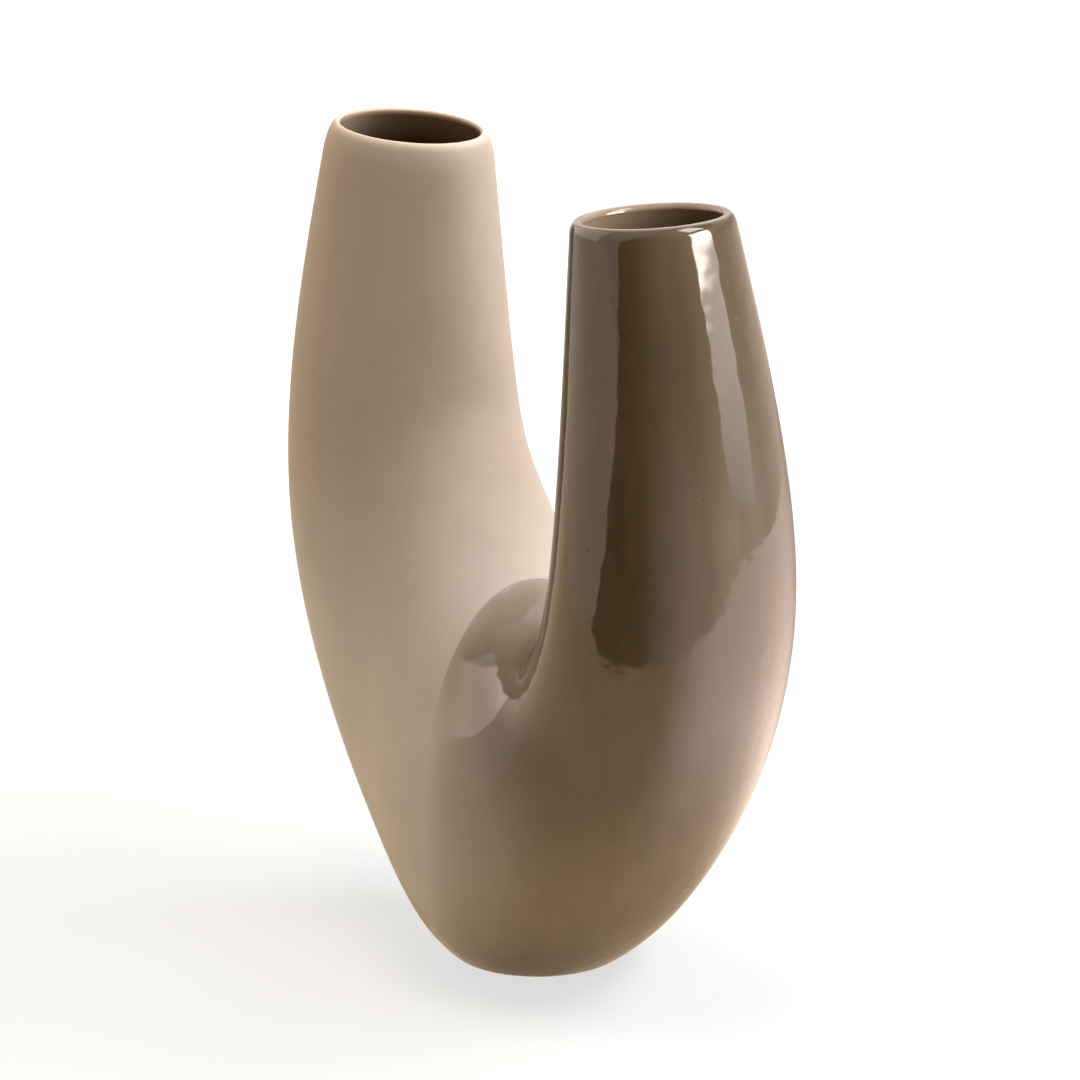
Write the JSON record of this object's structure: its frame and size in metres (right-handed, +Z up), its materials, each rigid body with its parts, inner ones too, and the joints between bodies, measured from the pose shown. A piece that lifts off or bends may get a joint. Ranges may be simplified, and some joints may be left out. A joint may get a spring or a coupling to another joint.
{
  "type": "crescent vase",
  "caption": "U-shaped stoneware vase with a tall arm and a shorter arm that both open upwards, light and matt on the tall side, glossy brown on the short side.",
  "frame": {"origin": "middle of the foot's flat underside", "axes": "+Z up from the foot, +X towards the short arm, +Y towards the back"},
  "size_m": [0.2498, 0.1286, 0.3184],
  "materials": {
    "clay": "bare fired stoneware, matt",
    "slip": "fired joining slip, matt",
    "matt_glaze": "smooth matt light taupe glaze",
    "gloss_glaze": "glossy brown glaze",
    "liner_glaze": "glossy dark brown glaze"
  },
  "bodies": {
    "root": {"tall_arm": "clay", "short_arm": "clay", "belly": "clay", "foot_slab": "clay", "tall_slip_bed": "slip", "short_slip_bed": "slip", "matt_coat": "matt_glaze", "gloss_coat": "gloss_glaze", "liner": "liner_glaze"}
  },
  "joints": []
}
